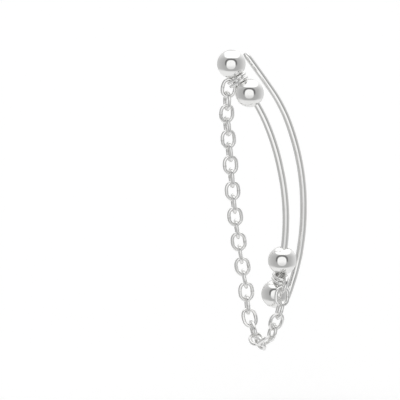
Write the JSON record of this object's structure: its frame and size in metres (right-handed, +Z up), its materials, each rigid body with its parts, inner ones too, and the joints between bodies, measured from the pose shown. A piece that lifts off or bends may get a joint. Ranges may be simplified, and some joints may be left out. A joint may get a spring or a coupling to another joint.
{
  "type": "ear climber",
  "caption": "Polished silver ear climber: a long bowed wire with round beads at both ends, an ear wire rising behind it, and a cable chain hanging in a deep U from neck to neck.",
  "frame": {"origin": "lowest point of the wire's bend, on its middle line, where it sits in the lobe's piercing", "axes": "+Z up along the worn ear, +Y from the front of the lobe to the back, +X to the right seen from the front"},
  "size_m": [0.0092, 0.01, 0.0398],
  "materials": {
    "polished_silver": "polished sterling silver, mirror bright with faint handling marks",
    "chain_silver": "bright sterling silver wire, a little duller inside the links"
  },
  "bodies": {
    "root": {"climber_wire": "polished_silver", "bead_top_end": "polished_silver", "bead_top_inner": "polished_silver", "bead_bottom_inner": "polished_silver", "bead_bottom_end": "polished_silver", "end_ring_top_1": "chain_silver", "end_ring_top_2": "chain_silver", "end_ring_bottom_1": "chain_silver", "end_ring_bottom_2": "chain_silver", "link_01": "chain_silver", "link_02": "chain_silver", "link_03": "chain_silver", "link_04": "chain_silver", "link_05": "chain_silver", "link_06": "chain_silver", "link_07": "chain_silver", "link_08": "chain_silver", "link_09": "chain_silver", "link_10": "chain_silver", "link_11": "chain_silver", "link_12": "chain_silver", "link_13": "chain_silver", "link_14": "chain_silver", "link_15": "chain_silver", "link_16": "chain_silver", "link_17": "chain_silver", "link_18": "chain_silver", "link_19": "chain_silver", "link_20": "chain_silver", "link_21": "chain_silver", "link_22": "chain_silver", "link_23": "chain_silver", "link_24": "chain_silver", "link_25": "chain_silver", "link_26": "chain_silver", "link_27": "chain_silver", "link_28": "chain_silver"}
  },
  "joints": []
}
